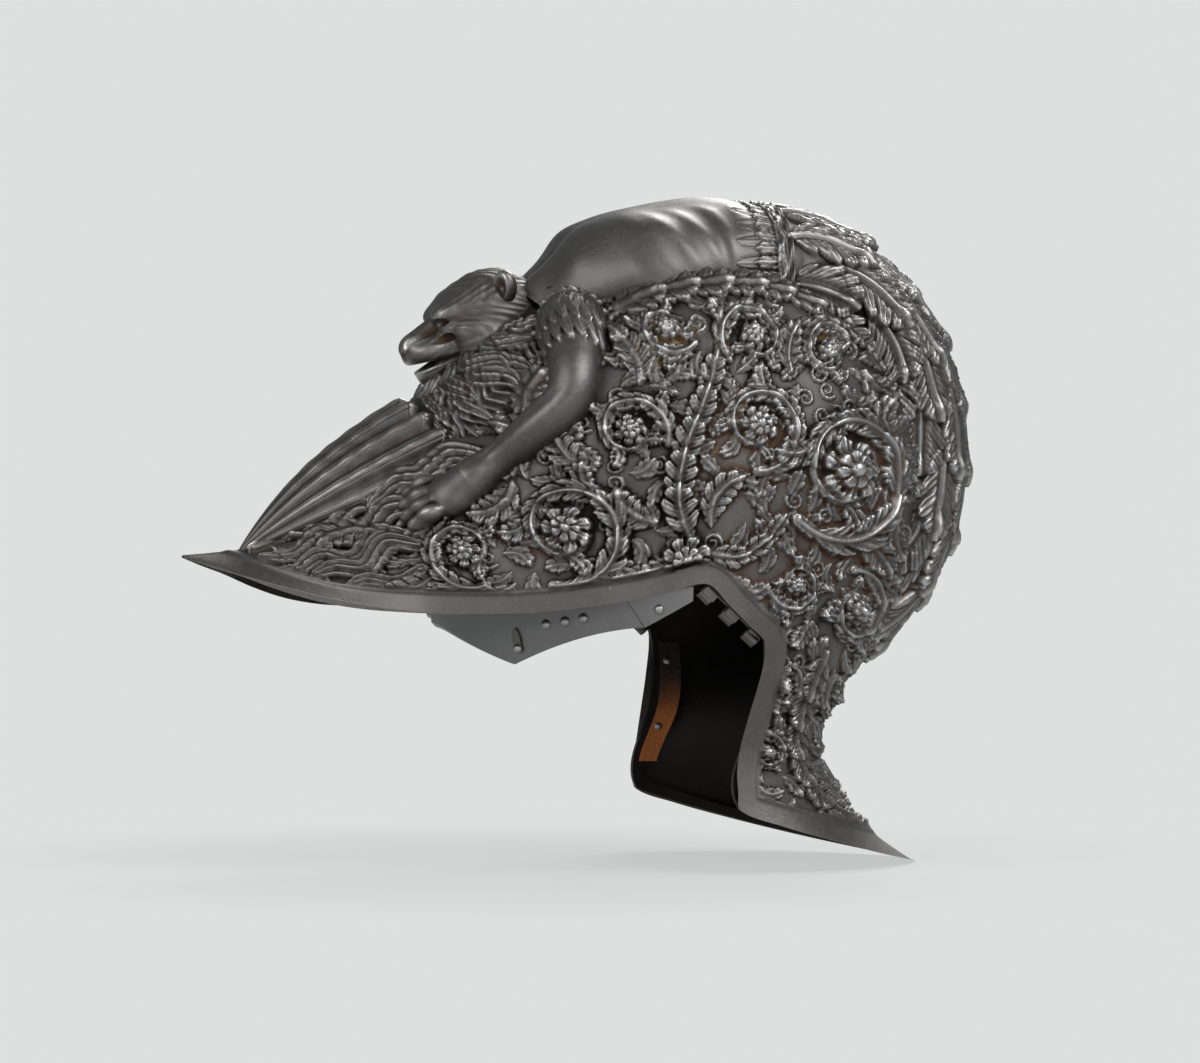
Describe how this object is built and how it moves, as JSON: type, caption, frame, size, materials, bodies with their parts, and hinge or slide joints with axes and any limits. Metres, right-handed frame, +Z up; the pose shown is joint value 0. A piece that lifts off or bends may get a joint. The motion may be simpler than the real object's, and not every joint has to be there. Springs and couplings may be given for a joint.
{
  "type": "embossed burgonet",
  "caption": "Open steel parade helmet with a pointed peak, an embossed beast crest with a leaf-scaled tail, a flared neck guard, riveted brow plates and temple hinge leaves.",
  "frame": {"origin": "in the head opening on the plane of symmetry, level with the foot of the temple hinges; the head or stand enters here from below", "axes": "-X is the way the wearer faces (the peak's tip), +Z is up, +Y is the wearer's right"},
  "size_m": [0.29, 0.172, 0.245],
  "materials": {
    "embossed_steel": "dark oxidised steel, worn bright on the relief, brown rust and traces of gilding in the recesses",
    "plain_steel": "plain polished steel with a fine satin grain and light staining",
    "hinge_steel": "worn steel, darker at the roots of the knuckles",
    "rivet_steel": "domed steel rivets, burnished on top",
    "strap_leather": "cracked leather stained orange by rust"
  },
  "bodies": {
    "root": {"bowl": "embossed_steel", "brow_plate": "plain_steel", "side_plate_left": "plain_steel", "side_plate_right": "plain_steel", "hinge_leaf_left": "hinge_steel", "hinge_leaf_right": "hinge_steel", "lining_strap": "strap_leather", "temple_leaf": "plain_steel", "temple_stud": "rivet_steel", "lining_rivets": "rivet_steel", "side_plate_rivets": "rivet_steel", "plate_fixing_rivets": "rivet_steel", "hinge_rivets": "rivet_steel", "strap_rivets": "rivet_steel"}
  },
  "joints": []
}
